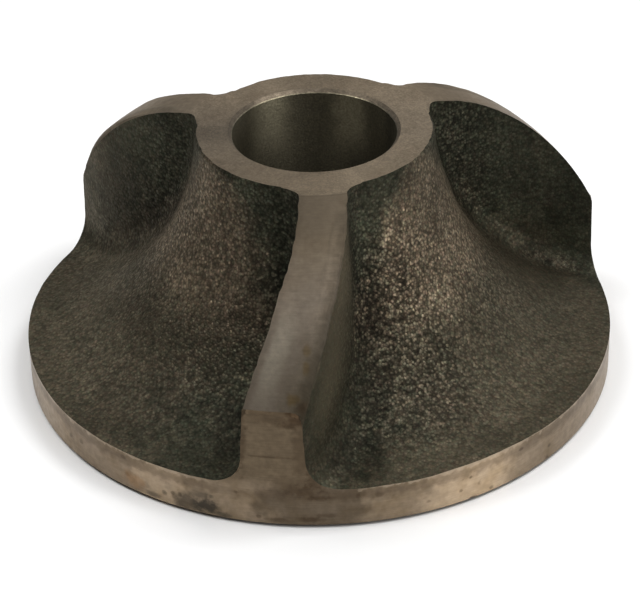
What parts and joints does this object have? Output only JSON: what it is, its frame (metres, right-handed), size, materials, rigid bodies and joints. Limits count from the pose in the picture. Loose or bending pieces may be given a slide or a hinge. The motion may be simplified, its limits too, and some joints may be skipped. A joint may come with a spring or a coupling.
{
  "type": "water pump impeller",
  "caption": "One-piece cast iron pump impeller: a bored hub and curved vanes with a turned crown, standing on a round back plate with cast pockets between.",
  "frame": {"origin": "centre of the flat back face, on the bore's axis", "axes": "+Z along the shaft bore from the back face to the hub face, -Y towards the viewer in the picture"},
  "size_m": [0.07, 0.07, 0.0305],
  "materials": {
    "cast_iron": "turned on the hub face, vane crowns, rim and bore, rough as cast in the pockets, light rust stains"
  },
  "bodies": {
    "root": {"impeller_casting": "cast_iron"}
  },
  "joints": []
}
